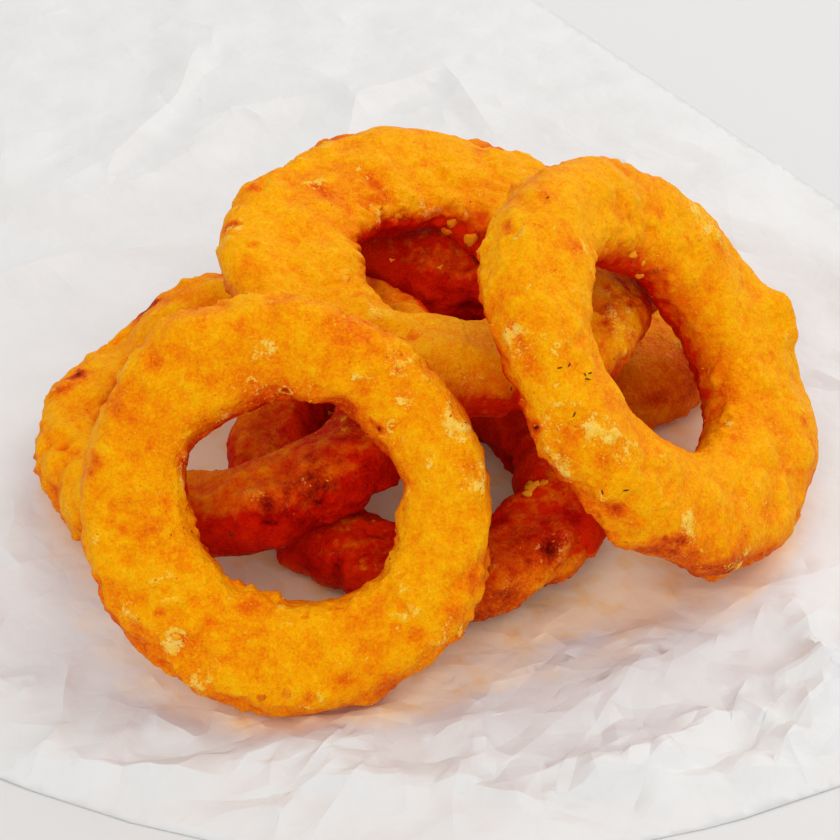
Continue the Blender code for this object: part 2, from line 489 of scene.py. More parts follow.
class Finish:
    """A material, with a short call for each sort of shader node that it needs."""

    def __init__(self, name, roughness, gloss):
        self.material = bpy.data.materials.new(name)
        self.material.use_nodes = True
        self.tree = self.material.node_tree
        self.shader = self.tree.nodes["Principled BSDF"]
        self.shader.inputs["Roughness"].default_value = roughness
        self.shader.inputs["Specular IOR Level"].default_value = gloss
        self.place = self.put("ShaderNodeTexCoord", {}).outputs["Object"]

    def put(self, kind, feeds, **settings):
        return put_node(self.tree, kind, feeds, **settings)

    def noise(self, scale, detail, output="Fac"):
        feeds = {"Vector": self.place, "Scale": scale, "Detail": detail}
        return self.put("ShaderNodeTexNoise", feeds).outputs[output]

    def attribute(self, name):
        return self.put("ShaderNodeAttribute", {}, attribute_name=name).outputs["Fac"]

    def ramp(self, value, stops):
        """The colour for a value, between stops that each have a position and a colour."""
        node = self.put("ShaderNodeValToRGB", {"Fac": value})
        while len(node.color_ramp.elements) < len(stops):
            node.color_ramp.elements.new(0.5)
        for element, (position, colour) in zip(node.color_ramp.elements, stops):
            element.position = position
            element.color = (*colour, 1.0)
        return node.outputs["Color"]

    def mix(self, share, under, over, how="MIX"):
        feeds = {"Factor": share, "A": under, "B": over}
        node = self.put("ShaderNodeMix", feeds, data_type="RGBA", blend_type=how)
        return node.outputs["Result"]

    def maths(self, operation, first, second):
        return self.put("ShaderNodeMath", {0: first, 1: second}, operation=operation).outputs[0]

    def wander(self, scale, detail, height):
        """Noise that goes evenly above and below zero."""
        centred = self.maths("SUBTRACT", self.noise(scale, detail), 0.5)
        return self.maths("MULTIPLY", centred, height)

    def bump(self, height, strength, distance, under=None):
        """Relief from a height, on top of another relief where one is given."""
        feeds = {"Height": height, "Strength": strength, "Distance": distance}
        if under:
            feeds["Normal"] = under
        return self.put("ShaderNodeBump", feeds).outputs["Normal"]

    def finished(self, colour, normal):
        self.tree.links.new(colour, self.shader.inputs["Base Color"])
        self.tree.links.new(normal, self.shader.inputs["Normal"])
        return self.material


def paper_finish():
    """White, faintly glossy paper with fine creases, with an amber painted shade where the heap
    encloses it.
    """
    finish = Finish("greaseproof_paper", 0.42, 0.3)
    tint = finish.ramp(finish.noise(60.0, 4.0),
                       [(0.3, (0.738, 0.735, 0.730)), (0.7, (0.776, 0.776, 0.775))])
    # Amber painted shade: warm light bounced off the rings, painted wherever the heap encloses the
    # sheet.
    painted_amber_shade = finish.ramp(finish.noise(150.0, 2.0),
                         [(0.50, (1.0, 0.85, 0.60)), (0.66, (1.0, 0.74, 0.38))])
    glow = finish.put("ShaderNodeMapRange", {"Value": finish.attribute("shelter"),
                                             "From Min": 0.34, "From Max": 0.64})
    bend = finish.put("ShaderNodeVectorMath", {0: finish.noise(70.0, 2.0, "Color"),
                                               1: (0.006, 0.006, 0.006), 2: finish.place},
                      operation="MULTIPLY_ADD")
    creases = None
    for scale, height in ((90.0, 0.0010), (210.0, 0.0005)):
        cells = finish.put("ShaderNodeTexVoronoi",
                           {"Vector": bend.outputs["Vector"], "Scale": scale},
                           feature="DISTANCE_TO_EDGE")
        creases = finish.bump(cells.outputs["Distance"], 0.35, height, creases)
    return finish.finished(finish.mix(glow.outputs["Result"], tint, painted_amber_shade), creases)


heap = plain_heap()
paper_mesh = crumpled_sheet()
paper = add_piece("greaseproof_paper", paper_mesh)
wall = paper.modifiers.new("thickness", "SOLIDIFY")
wall.thickness = PAPER_THICKNESS
wall.offset = -1.0
paper_mesh.materials.append(paper_finish())
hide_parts("paper_sheet")
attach(paper, "root")


# ---- Onion rings ----
# Each is a thick ring of onion dipped in batter and fried, and they lie loose in a heap.
# The crust has broad lumps, raised blister edges, burst bubbles, ragged edges and a grain.

CORNERS_AROUND = 44            # the frame's rings have this many corners around
CORNERS_SECTION = 12           # and this many around their section
NEAR = 0.0030                  # only skins this close are held apart
CLEARANCE = 0.00012            # half the least gap between them
LOWEST_CRUST = 0.0008          # least height of the crust above the table
SHELTER_RAYS = 40              # looks taken from each corner to see how enclosed it is
SHELTER_LIFT = 0.0008          # how far off the skin they start
SPOT_BROWNING = 0.52           # what a spot of full strength adds to the browning,
# Facing down or sideways adds browning and painted shade.
UNDER_BROWNING_AND_SHADE = 0.20          # what facing down adds,
SIDE_BROWNING_AND_SHADE = 0.12           # and what facing sideways adds
ROUGH_LIFT = 1.3               # a crumbly patch's relief, next to its stated height
LEAST_ARCS = 6                 # blisters strewn on every ring,
POINTS_PER_ARC = 3500          # and one more for each so many points of its skin


class Spot(NamedTuple):
    """A browned spot: headings around the ring and its section in degrees, width in mm."""

    around: float
    section: float
    width: float
    strength: float


class Rough(NamedTuple):
    """A patch where the batter set in crumbs, in the same units."""

    around: float
    section: float
    width: float
    height: float          # millimetres


class Arc(NamedTuple):
    """The raised edge of a burst blister, in the same units."""

    around: float
    section: float
    radius: float
    start: float
    sweep: float
    height: float


class Swell(NamedTuple):
    """A broad swelling, or a hollow where the height is below zero, in the same units."""

    around: float
    section: float
    width: float
    height: float


class Look(NamedTuple):
    """How one ring came out of the fryer, and how much painted shade it gets."""

    slot: str
    steps: tuple           # how many points around the ring and around its section
    # Browning all over is partly painted shade on the bottom and middle rings, which lie in shade
    # under the others.
    brown: float           # browning all over
    pale: float            # how much pale dry batter shows
    # The next value sets a painted shade: how strongly a painted red shade darkens the ring where
    # the heap encloses it.
    painted_shade: float            # how strongly it reddens where it is enclosed
    rugged: float          # how high its lesser lumps stand, next to the plainest crust
    spots: list
    roughs: list
    arcs: list
    swells: list
    grains: int            # how many dry grains cling to it


LOOKS = {
    "ring_front": Look(
        "golden_batter", (480, 150), 0.05, 1.0, 0.9, 1.0,
        [Spot(167, 41, 2.6, 0.60), Spot(149, 44, 4.5, 0.30), Spot(123, 109, 2.0, 0.30),
         Spot(40, 141, 1.6, 0.80), Spot(-73, 59, 3.2, 0.50), Spot(-34, 43, 3.2, 0.50),
         Spot(-46, 64, 2.4, 0.40), Spot(-111, 150, 3.5, 0.45), Spot(154, 167, 4.0, 0.35),
         Spot(-21, 31, 4.0, 0.30), Spot(13, 56, 3.5, 0.30), Spot(-60, 32, 3.0, 0.40)],
        [Rough(52, 49, 5.0, 0.35), Rough(42, 83, 3.5, 0.30), Rough(26, 49, 6.0, 0.35),
         Rough(8, 40, 5.0, 0.35), Rough(99, 95, 3.5, 0.35), Rough(104, 150, 4.0, 0.35),
         Rough(-130, 49, 3.0, 0.45), Rough(-146, 35, 4.0, 0.35), Rough(-116, 32, 3.5, 0.35),
         Rough(-91, 40, 4.0, 0.80), Rough(-89, 148, 5.0, 0.50), Rough(125, 168, 4.0, 0.45),
         Rough(161, 167, 5.0, 0.40), Rough(-40, 28, 6.0, 0.40)],
        [Arc(57, 112, 2.6, 20, 190, 0.35), Arc(107, 131, 1.0, 0, 360, 0.30),
         Arc(92, 147, 1.2, 0, 360, 0.30), Arc(37, 123, 1.2, 100, 240, 0.45),
         Arc(-84, 42, 2.2, 200, 250, 0.45), Arc(-130, 58, 2.0, 40, 200, 0.40)],
        [Swell(138, 20, 14, 1.3), Swell(120, 20, 12, 1.4), Swell(97, 37, 14, 1.8),
         Swell(165, 166, 10, -1.4), Swell(148, 151, 9, -1.2), Swell(-60, 26, 7, -1.2),
         Swell(-152, 20, 7, 1.0)], 760),
    "ring_right": Look(
        "golden_batter", (520, 150), 0.02, 1.0, 0.9, 1.0,
        [Spot(154, 39, 2.6, 0.40), Spot(142, 74, 2.4, 0.35), Spot(99, 101, 2.0, 0.40),
         Spot(65, 87, 3.0, 0.40), Spot(-110, 4, 3.2, 0.65), Spot(-90, 21, 2.8, 0.60),
         Spot(-69, 15, 6.5, 0.75), Spot(-92, -2, 6.0, 0.60), Spot(-4, 69, 1.8, 0.60),
         Spot(-124, 30, 2.4, 0.30), Spot(-140, -15, 1.6, 0.90), Spot(165, 9, 2.4, 0.40),
         Spot(-49, 18, 5.0, 0.45), Spot(-81, 8, 8.0, 0.35)],
        [Rough(-160, 46, 3.5, 0.30), Rough(-162, 5, 5.0, 0.30), Rough(-131, 50, 5.0, 0.30),
         Rough(-121, 54, 4.0, 0.30), Rough(111, 163, 4.0, 0.60), Rough(94, 178, 4.0, 0.60),
         Rough(-139, -11, 5.0, 0.50), Rough(-128, -11, 5.0, 0.50), Rough(-64, 11, 6.0, 0.40),
         Rough(75, 60, 8.0, 0.40), Rough(-88, 38, 5.0, 0.30)],
        [Arc(168, 14, 2.6, 0, 160, 0.40), Arc(167, 92, 3.4, -60, 170, 0.40),
         Arc(-56, 79, 0.9, 0, 360, 0.35), Arc(111, 76, 2.5, 30, 150, 0.25)],
        [Swell(-178, -15, 12, 1.2), Swell(169, 127, 7, 2.4), Swell(72, 50, 5, 1.7),
         Swell(90, 42, 5, 1.6), Swell(12, 44, 7, -1.2), Swell(36, 42, 3.8, 2.8),
         Swell(28, 40, 3.8, 2.6), Swell(-73, 149, 4, -1.2), Swell(-8, 44, 8, 0.9)], 820),
    "ring_top": Look(
        "golden_batter", (480, 160), 0.02, 1.0, 0.9, 1.15,
        [Spot(165, 22, 2.4, 0.70), Spot(-177, 15, 3.0, 0.65), Spot(-159, 27, 4.0, 0.40),
         Spot(133, 150, 3.2, 0.45), Spot(100, 10, 4.5, 0.60), Spot(100, -5, 3.0, 0.80),
         Spot(-59, 157, 2.0, 0.60), Spot(-35, 32, 5.0, 0.35), Spot(-10, 28, 7.0, 0.40),
         Spot(-20, 50, 6.0, 0.45), Spot(156, 118, 5.0, 0.20), Spot(-2, 60, 1.8, 0.80),
         Spot(-8, 72, 1.4, 0.80), Spot(-17, 64, 1.6, 0.70), Spot(-26, 46, 1.7, 0.70),
         Spot(-12, 38, 1.5, 0.70), Spot(-4, 44, 1.3, 0.70)],
        [Rough(131, 164, 7.0, 0.75), Rough(-144, 137, 8.0, 0.80), Rough(-135, 79, 3.0, 0.60),
         Rough(77, -175, 7.0, 0.80), Rough(55, -165, 6.0, 0.70), Rough(100, 173, 6.0, 0.60),
         Rough(-13, 50, 12.0, 0.80), Rough(-24, 24, 9.0, 0.80), Rough(-174, 14, 5.0, 0.50),
         Rough(151, 78, 3.0, 0.35)],
        [Arc(-177, 17, 2.6, 20, 140, 0.40), Arc(153, 78, 1.4, 0, 360, 0.25),
         Arc(130, 118, 3.0, 30, 140, 0.30)],
        [Swell(106, 25, 8, 1.8), Swell(147, 40, 10, -1.0), Swell(-155, 161, 7, 2.6),
         Swell(66, -162, 6, 3.6), Swell(50, -155, 7, 3.6)], 600),
    "ring_left": Look(
        "deep_golden_batter", (400, 110), 0.05, 0.7, 1.6, 1.35,
        [Spot(118, 15, 4.0, 0.90), Spot(122, 5, 4.5, 1.00), Spot(159, 70, 4.0, 0.60),
         Spot(165, 65, 3.0, 0.60), Spot(-74, 38, 3.6, 0.80), Spot(-45, 25, 3.0, 0.50),
         Spot(-55, 88, 2.6, 0.50), Spot(-59, 14, 12.0, 0.35), Spot(-74, 9, 12.0, 0.40),
         Spot(-49, 3, 10.0, 0.40), Spot(-177, 73, 3.0, 0.35), Spot(-62, 40, 5.0, 0.50),
         Spot(-50, 55, 4.0, 0.45), Spot(-66, 20, 6.0, 0.40), Spot(121, 45, 4.5, 1.10),
         Spot(156, 75, 2.5, 0.90), Spot(150, 62, 2.5, 0.50)],
        [Rough(162, 65, 6.0, 0.60), Rough(120, 40, 5.0, 0.60), Rough(152, 60, 4.0, 0.60),
         Rough(-67, 33, 8.0, 0.80), Rough(-78, 49, 7.0, 0.70), Rough(-37, 108, 4.0, 0.50)],
        [Arc(-75, 35, 2.6, 0, 170, 0.25), Arc(-59, 45, 2.2, 60, 160, 0.30)],
        [Swell(135, 60, 9, -2.4), Swell(146, 60, 8, -1.6), Swell(108, 50, 9, 1.3),
         Swell(163, 50, 6, 0.8), Swell(-35, -5, 7, 1.3)], 330),
    "ring_bottom": Look(
        "brown_batter", (360, 100), 0.26, 0.6, 1.7, 1.5,
        [Spot(-50, 34, 5.0, 0.65), Spot(-38, 61, 4.0, 0.35), Spot(-116, 30, 3.4, 0.50),
         Spot(169, 66, 2.6, 0.45), Spot(-80, 60, 8.0, 0.25), Spot(-127, 2, 6.0, 0.60),
         Spot(-115, 12, 4.0, 0.45)],
        [Rough(-44, 23, 8.0, 0.45), Rough(-35, 124, 4.0, 0.90), Rough(136, 176, 4.0, 0.60),
         Rough(-116, 33, 8.0, 0.35), Rough(168, 105, 8.0, 0.35), Rough(-66, 22, 8.0, 0.40)],
        [Arc(-50, 34, 3.6, 20, 200, 0.40), Arc(-46, 34, 1.9, 200, 220, 0.35),
         Arc(-116, 30, 2.6, 0, 210, 0.35), Arc(-53, 43, 1.5, 90, 160, 0.30)],
        [Swell(-45, 10, 8, -1.8), Swell(-60, -10, 8, -1.2)], 240),
    "ring_middle": Look(
        "brown_batter", (340, 100), 0.22, 0.5, 1.6, 1.4,
        [Spot(-96, 27, 6.0, 0.25)],
        [Rough(-111, 70, 6.0, 0.45), Rough(-90, 90, 8.0, 0.40)],
        [Arc(-104, 65, 2.5, 0, 200, 0.40)],
        [Swell(-100, 116, 7, 2.8), Swell(-84, 116, 7, 2.8)], 150),
    "ring_back": Look(
        "deep_golden_batter", (340, 100), 0.12, 0.6, 0.55, 1.0,
        [Spot(-60, 36, 8.0, 0.25), Spot(10, 30, 5.0, 0.50)],
        [Rough(-58, 52, 8.0, 0.30), Rough(10, 30, 6.0, 0.40)],
        [],
        [Swell(-63, -10, 9, 3.0), Swell(-72, -10, 7, 2.4)], 150),
}


def loop_weights(fine, coarse):
    """Weights that turn a loop's coarse points into a smooth fine loop through all of them."""
    def bell(gap):
        gap = np.abs((gap + coarse / 2) % coarse - coarse / 2)
        outer = np.clip(2 - gap, 0, None) ** 3 / 6
        return np.where(gap < 1, 2 / 3 - gap ** 2 + gap ** 3 / 2, outer)

    knots = np.arange(coarse)
    at = np.arange(fine) * coarse / fine
    return bell(at[:, None] - knots) @ np.linalg.inv(bell(knots[:, None] - knots))


def grid_faces(rows, columns):
    """The four-sided faces of a grid that closes on itself both ways."""
    here = np.arange(rows * columns).reshape(rows, columns)
    return np.stack([here, np.roll(here, -1, axis=0),
                     np.roll(here, (-1, -1), axis=(0, 1)), np.roll(here, -1, axis=1)],
                    axis=2).reshape(-1, 4)


def skin_normals(grid):
    """The outward normals of a closed grid of points."""
    along = np.roll(grid, -1, axis=0) - np.roll(grid, 1, axis=0)
    across = np.roll(grid, -1, axis=1) - np.roll(grid, 1, axis=1)
    out = np.cross(along, across)
    return out / np.linalg.norm(out, axis=2)[:, :, None]


class Crust:
    """A ring's fine skin, with what the batter does at each of its points."""

    def __init__(self, node, steps):
        mesh = welded_copy(node, node + "_corners")
        corners = mesh_points(mesh)
        bpy.data.meshes.remove(mesh)
        self.middle = corners.mean(axis=0)
        up = np.linalg.svd(corners - self.middle, full_matrices=False)[2][2]
        self.up = up * np.sign(up[2])
        right = np.array([1.0, 0.0, 0.0]) - self.up * self.up[0]
        self.right = right / np.linalg.norm(right)
        self.ahead = np.cross(self.up, self.right)
        self.corners = self.sorted_corners(corners)
        self.weights = (loop_weights(steps[0], CORNERS_AROUND),
                        loop_weights(steps[1], CORNERS_SECTION))
        self.steps = steps
        self.smooth = self.refined(self.corners)
        turn, radius, height = self.cylinder(self.smooth)
        core = radius.reshape(steps).mean(axis=1).repeat(steps[1])
        self.around = turn
        self.section = np.arctan2(height, radius - core)
        self.normals = skin_normals(self.smooth.reshape(*steps, 3)).reshape(-1, 3)
        self.points = self.smooth                   # where the finished skin lies,
        self.facing = self.normals                  # and the way it faces
        self.push = np.zeros(len(self.smooth))      # how far the batter stands out
        self.room = np.ones(len(self.smooth))       # gap to the nearest neighbour
        self.shelter = np.zeros(len(self.smooth))   # how enclosed by the heap
        # Browning, and in places painted shade.
        self.toast_and_shade = np.zeros(len(self.smooth))     # how browned
        self.pale = np.zeros(len(self.smooth))      # how much pale dry batter shows

    def refined(self, grid):
        """Values at the frame's corners, spread smoothly over the fine skin."""
        return np.einsum("ai,bj,ijk->abk", *self.weights, grid).reshape(-1, grid.shape[2])

    def cylinder(self, points):
        """Each point's heading around the ring, its distance from the axis and its height."""
        local = points - self.middle
        return (np.arctan2(local @ self.ahead, local @ self.right),
                np.hypot(local @ self.ahead, local @ self.right), local @ self.up)

    def sorted_corners(self, corners):
        """The frame's corners in rows around the ring and columns around its section."""
        turn, radius, height = self.cylinder(corners)
        first = np.angle(np.exp(1j * turn * CORNERS_AROUND).mean()) / CORNERS_AROUND
        row = np.round((turn - first) * CORNERS_AROUND / math.tau).astype(int) % CORNERS_AROUND
        core = np.array([radius[row == k].mean() for k in range(CORNERS_AROUND)])
        across = radius - core[row]
        tip = np.arctan2(height / np.abs(height).max(), across / np.abs(across).max())
        column = np.round(tip * CORNERS_SECTION / math.tau).astype(int) % CORNERS_SECTION
        grid = np.zeros((CORNERS_AROUND, CORNERS_SECTION, 3))
        grid[row, column] = corners
        return grid

    def place(self, around, section):
        """The index of the point at these headings, in degrees."""
        turn = np.abs(np.angle(np.exp(1j * (self.around - math.radians(around)))))
        tip = np.abs(np.angle(np.exp(1j * (self.section - math.radians(section)))))
        return int(np.argmin(turn * 3 + tip))


def dome(gap, radius):
    """A smooth dome from 1 at its middle to 0 at its foot."""
    return np.clip(1 - (gap / radius) ** 2, 0, 1) ** 2


def bumps_at(points, size, share, seed):
    """Small domes from 0 to 1, scattered about one size apart, with uneven outlines."""
    bend = [noise_at(points, size * 0.45, seed + 10 + k) for k in range(3)]
    bent = points + 0.22 * size * np.stack(bend, axis=1)
    cell = np.floor(bent / size).astype(np.int64)
    height = np.zeros(len(points))
    for step in itertools.product((-1, 0, 1), repeat=3):
        home = cell + step
        shift = np.stack([cell_value(home, seed + k) for k in (1, 2, 3)], axis=1)
        gap = np.linalg.norm((home + shift) * size - bent, axis=1) / size
        found = dome(gap, 0.2 + 0.32 * cell_value(home, seed + 4))
        found *= (cell_value(home, seed + 5) < share) * (0.4 + 0.6 * cell_value(home, seed + 6))
        height = np.maximum(height, found)
    return height


class Lump(NamedTuple):
    """Lumps of one size in the crust, in metres; the patchy ones come and go."""

    height: float
    size: float
    patchy: bool


class Fold(NamedTuple):
    """Thin raised lines in the crust, in some areas only; sizes in metres."""

    size: float            # about how far apart the lines are
    thinness: float        # their width, next to that
    area_size: float       # they show in areas about this large,
    area_gain: float       # whose edges are sharper with more gain,
    area_shift: float      # and which are fewer with a lower shift
    height: float
    pale: float
    seed: int


BROAD_LUMP = Lump(0.00100, 0.0120, False)
LESSER_LUMPS = [Lump(0.00072, 0.0058, False), Lump(0.00056, 0.0028, True),
                Lump(0.00030, 0.0014, True)]
FOLDS = [Fold(0.0075, 0.10, 0.011, 2.5, -0.3, 0.00022, 0.35, 4),
         Fold(0.0046, 0.16, 0.009, 2.2, 0.0, 0.00034, 0.25, 7)]
# The hollows between the lesser lumps get browning and painted shade.
HOLLOW_BROWNING_AND_SHADE = 150.0        # what each metre of depth between the lesser lumps adds


def lump_crust(crust, swells, rugged, seed):
    """Broad lumps, lesser ones in patches, thin folds, small bubbles and pits."""
    at = crust.smooth
    for swell in swells:
        gap = np.linalg.norm(at - at[crust.place(swell.around, swell.section)], axis=1)
        crust.push += swell.height / 1000 * np.exp(-(gap * 1000 / swell.width) ** 2)
    crust.push += BROAD_LUMP.height * noise_at(at, BROAD_LUMP.size, seed)
    patchy = np.clip(0.75 + 0.9 * noise_at(at, 0.013, seed + 9), 0.25, 1.5)
    lesser = np.zeros(len(at))
    for step, lump in enumerate(LESSER_LUMPS, 1):
        share = patchy if lump.patchy else 1
        lesser += rugged * lump.height * noise_at(at, lump.size, seed + step) * share
    crust.push += lesser
    # Hollows between the lesser lumps are browner, partly painted shade; their tops are paler,
    # partly pale batter and partly painted light.
    crust.toast_and_shade -= HOLLOW_BROWNING_AND_SHADE * lesser
    crust.pale += np.clip(lesser * 1300 - 0.70, 0, 0.45)
    for fold in FOLDS:
        line = np.clip(1 - np.abs(noise_at(at, fold.size, seed + fold.seed)) / fold.thinness, 0, 1)
        area = noise_at(at, fold.area_size, seed + fold.seed + 1)
        line *= np.clip(area * fold.area_gain + fold.area_shift, 0, 1)
        crust.push += fold.height * line
        crust.pale += fold.pale * line
    bubbles = bumps_at(at, 0.0030, 0.16, seed + 20)
    crust.push += 0.00030 * bubbles
    crust.pale += 0.85 * bubbles * (noise_at(at, 0.009, seed + 6) > 0)
    pits = bumps_at(at, 0.0042, 0.09, seed + 40)
    crust.push -= 0.00028 * pits
    crust.toast_and_shade += 0.30 * pits


class Ledge(NamedTuple):
    """A ragged ledge all along a ring: its heading around the section, and its height."""

    section: float
    height: float


LEDGES = [Ledge(8.0, 0.0007), Ledge(-20.0, 0.0010), Ledge(-45.0, 0.0008),
          Ledge(172.0, 0.0010), Ledge(-150.0, 0.0008)]
LEDGE_WIDTH = 0.18             # radians of the section


def edge_crust(crust, seed):
    """The ragged ledges where batter ran together along the outer and inner edges."""
    at = crust.smooth
    ragged = 0.4 + noise_at(at, 0.0030, seed) + 1.0 * noise_at(at, 0.0013, seed + 1)
    ragged = np.clip(ragged, 0, 1.8)
    patchy = np.clip(0.45 + 1.4 * noise_at(at, 0.011, seed + 2), 0, 1)
    browned = np.clip(noise_at(at, 0.003, seed + 3) + 0.3, 0, 1)
    for ledge in LEDGES:
        off = np.angle(np.exp(1j * (crust.section - math.radians(ledge.section))))
        share = np.exp(-(off / LEDGE_WIDTH) ** 2) * patchy
        crust.push += ledge.height * share * ragged
        crust.toast_and_shade += 0.20 * share * browned


def rough_crust(crust, roughs, seed):
    """Crumbly patches of batter, paler on their tops."""
    at = crust.smooth
    crumbs = np.clip(noise_at(at, 0.0019, seed) + 0.25, 0, 1)
    crumbs += 0.5 * bumps_at(at, 0.0022, 0.7, seed + 1)
    for rough in roughs:
        centre = at[crust.place(rough.around, rough.section)]
        gap = np.linalg.norm(at - centre, axis=1) * 1000 / rough.width
        share = np.exp(-(gap * 1.25) ** 4)
        crust.push += ROUGH_LIFT * share * rough.height / 1000 * (crumbs - 0.25)
        fair = 1.15 - rough.height
        crust.pale += share * fair * (0.38 + 0.80 * np.clip(crumbs - 0.15, 0, 1))


def arc_crust(crust, arcs, seed):
    """Raised edges of burst blisters, some placed and many strewn at random."""
    dice = random.Random(seed)
    centres = [(crust.place(arc.around, arc.section), arc) for arc in arcs]
    for _ in range(LEAST_ARCS + len(crust.points) // POINTS_PER_ARC):
        k = dice.randrange(len(crust.points))
        centres.append((k, Arc(0, 0, dice.uniform(0.7, 3.2), dice.uniform(0, 360),
                               dice.uniform(40, 150), dice.uniform(0.10, 0.26))))
    for k, arc in centres:
        off = crust.smooth - crust.smooth[k]
        gap = np.linalg.norm(off, axis=1) * 1000
        close = np.flatnonzero(gap < arc.radius * 2 + 1)
        east = np.cross(crust.up, crust.normals[k])
        east /= np.linalg.norm(east) + 1e-9
        north = np.cross(crust.normals[k], east)
        heading = np.degrees(np.arctan2(off[close] @ north, off[close] @ east))
        past = (heading - arc.start) % 360
        fade = np.clip(np.minimum(past, arc.sweep - past) / 25, 0, 1) if arc.sweep < 360 else 1.0
        breaks = noise_at(crust.smooth[close], 0.0016, seed + k + 1)
        fade = fade * np.clip(0.9 + 1.5 * breaks, 0, 1.2)
        bend = noise_at(crust.smooth[close], 0.0008 * arc.radius + 0.0004, seed + k)
        width = 0.20 + 0.10 * arc.radius ** 0.5
        rim = np.exp(-((gap[close] * (1 + 0.40 * bend) - arc.radius) / width) ** 2) * fade
        crust.push[close] += arc.height / 1000 * rim
        crust.pale[close] += min(1.0, 2.6 * arc.height) * rim * (1 + bend)
        bowl = dome(gap[close], arc.radius)
        crust.push[close] -= 0.35 * arc.height / 1000 * bowl
        crust.toast_and_shade[close] += 0.5 * arc.height * bowl


def toast_crust(crust, look, seed):
    """Browning: in soft patches, in freckles, at the listed spots, and underneath and on the
    sides, where it is partly painted shade.
    """
    at = crust.smooth
    down = np.clip(-crust.normals[:, 2], 0, 1)
    side = np.clip(0.50 - crust.normals[:, 2], 0, 0.7)
    crust.toast_and_shade += look.brown * (1 + 0.6 * noise_at(at, 0.012, seed))
    crust.toast_and_shade += 0.06 * noise_at(at, 0.017, seed + 1) + 0.05 * noise_at(at, 0.005, seed + 2)
    # Faces turned down or sideways get browning and painted shade.
    crust.toast_and_shade += UNDER_BROWNING_AND_SHADE * down
    crust.toast_and_shade += SIDE_BROWNING_AND_SHADE * side * (1 + 0.9 * noise_at(at, 0.007, seed + 7))
    freckles = bumps_at(at, 0.0055, 0.30, seed + 20)
    crust.toast_and_shade += (0.18 + 0.3 * look.brown) * freckles
    uneven = 1 + 0.40 * noise_at(at, 0.0022, seed + 3) + 0.20 * noise_at(at, 0.0010, seed + 4)
    for spot in look.spots:
        centre = at[crust.place(spot.around, spot.section)]
        gap = np.linalg.norm(at - centre, axis=1) * 1000 / spot.width
        crust.toast_and_shade += SPOT_BROWNING * spot.strength * np.exp(-(gap * 1.4 * uneven) ** 2)
    crust.pale *= look.pale
    crust.pale += 0.22 * look.pale * np.clip(noise_at(at, 0.008, seed + 5) - 0.25, 0, 1)


def keep_apart(crust, neighbour):
    """Hold the batter back where it would reach a neighbour's skin."""
    points, tree = neighbour
    low = points.min(axis=0) - NEAR
    high = points.max(axis=0) + NEAR
    close = np.flatnonzero(np.all((crust.smooth > low) & (crust.smooth < high), axis=1))
    for k in close:
        found, facing, _, gap = tree.find_nearest(crust.smooth[k], NEAR)
        if found is not None and facing.dot(crust.normals[k]) < 0:
            outside = (Vector(crust.smooth[k]) - found).dot(facing) > 0
            crust.room[k] = min(crust.room[k], gap if outside else 0.0)
            room = (gap if outside else -gap) / 2 - CLEARANCE
            crust.push[k] = min(crust.push[k], room)


def shelter_crust(crust, painted_shade):
    """How much of each place's view the heap fills, more for what faces down: the strength of its
    painted red shade.
    """
    grid = crust.corners
    facing = skin_normals(grid)
    hidden = np.zeros((*grid.shape[:2], 1))
    for row, column in np.ndindex(*grid.shape[:2]):
        normal = Vector(facing[row, column])
        place = Vector(grid[row, column]) + normal * SHELTER_LIFT
        hidden[row, column] = filled_view(heap, place, normal, SHELTER_RAYS)
    # Faces turned down get more of the painted shade.
    lean = np.clip(1.20 - 0.70 * crust.normals[:, 2], 0.4, 1.3)
    crust.shelter = painted_shade * lean * np.clip(crust.refined(hidden)[:, 0], 0, 1)
    # Painted shade: the pale batter is dimmed where the heap encloses it.
    crust.pale *= np.clip(1.25 - crust.shelter, 0.3, 1)


def crust_mesh(node, crust):
    """The ring's mesh, with its skin pushed out and its values kept on its points."""
    crust.points = crust.smooth + crust.normals * crust.push[:, None]
    crust.points[:, 2] = np.maximum(crust.points[:, 2], LOWEST_CRUST)
    crust.facing = skin_normals(crust.points.reshape(*crust.steps, 3)).reshape(-1, 3)
    mesh = bpy.data.meshes.new(node + "_crust")
    mesh.from_pydata(crust.points.tolist(), [], grid_faces(*crust.steps).tolist())
    mesh.update()
    for name, values in (("toast_and_shade", crust.toast_and_shade), ("pale", crust.pale),
                         ("shelter", crust.shelter)):
        layer = mesh.attributes.new(name, "FLOAT", "POINT")
        layer.data.foreach_set("value", np.clip(values, 0, 1.2))
    mesh.shade_smooth()
    return mesh


